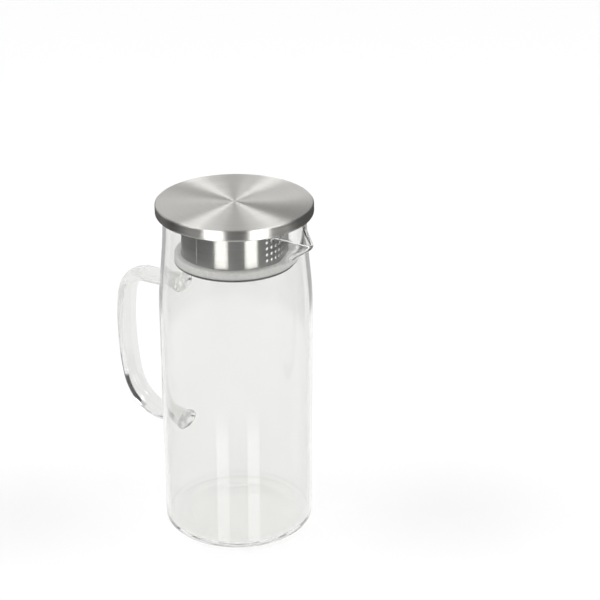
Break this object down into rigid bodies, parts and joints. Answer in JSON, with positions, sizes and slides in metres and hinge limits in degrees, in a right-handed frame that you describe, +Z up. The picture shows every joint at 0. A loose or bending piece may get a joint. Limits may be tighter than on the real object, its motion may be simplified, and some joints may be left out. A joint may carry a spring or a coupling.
{
  "type": "glass pitcher with lid",
  "caption": "clear glass pitcher with a drawn beak spout, a strap handle and a turning brushed steel lid that carries a perforated strainer drum and a silicone seal",
  "frame": {"origin": "centre of the flat base, on the surface the pitcher stands on", "axes": "+Z up along the jug's axis, +X toward the spout, -X toward the handle, the XZ plane is the plane of mirror symmetry"},
  "size_m": [0.1665, 0.099, 0.2225],
  "materials": {
    "clear_glass": "clear, blown",
    "handle_glass": "clear, drawn",
    "cap_steel": "circular brushed",
    "plate_steel": "satin",
    "drum_steel": "satin",
    "silicone": "translucent silicone"
  },
  "bodies": {
    "jug": {"glass_body": "clear_glass", "handle": "handle_glass"},
    "seal": {"seal_ring": "silicone"},
    "lid": {"lid_cap": "cap_steel", "underplate": "plate_steel", "strainer_drum": "drum_steel"}
  },
  "joints": [
    {"name": "lid_lift", "type": "slide", "parent": "jug", "child": "seal", "axis": [0, 0, 1], "range_m": [0, 0.06]},
    {"name": "lid_turn", "type": "hinge", "parent": "seal", "child": "lid", "pos_m": [0, 0, 0.2], "axis": [0, 0, 1], "continuous": true}
  ]
}
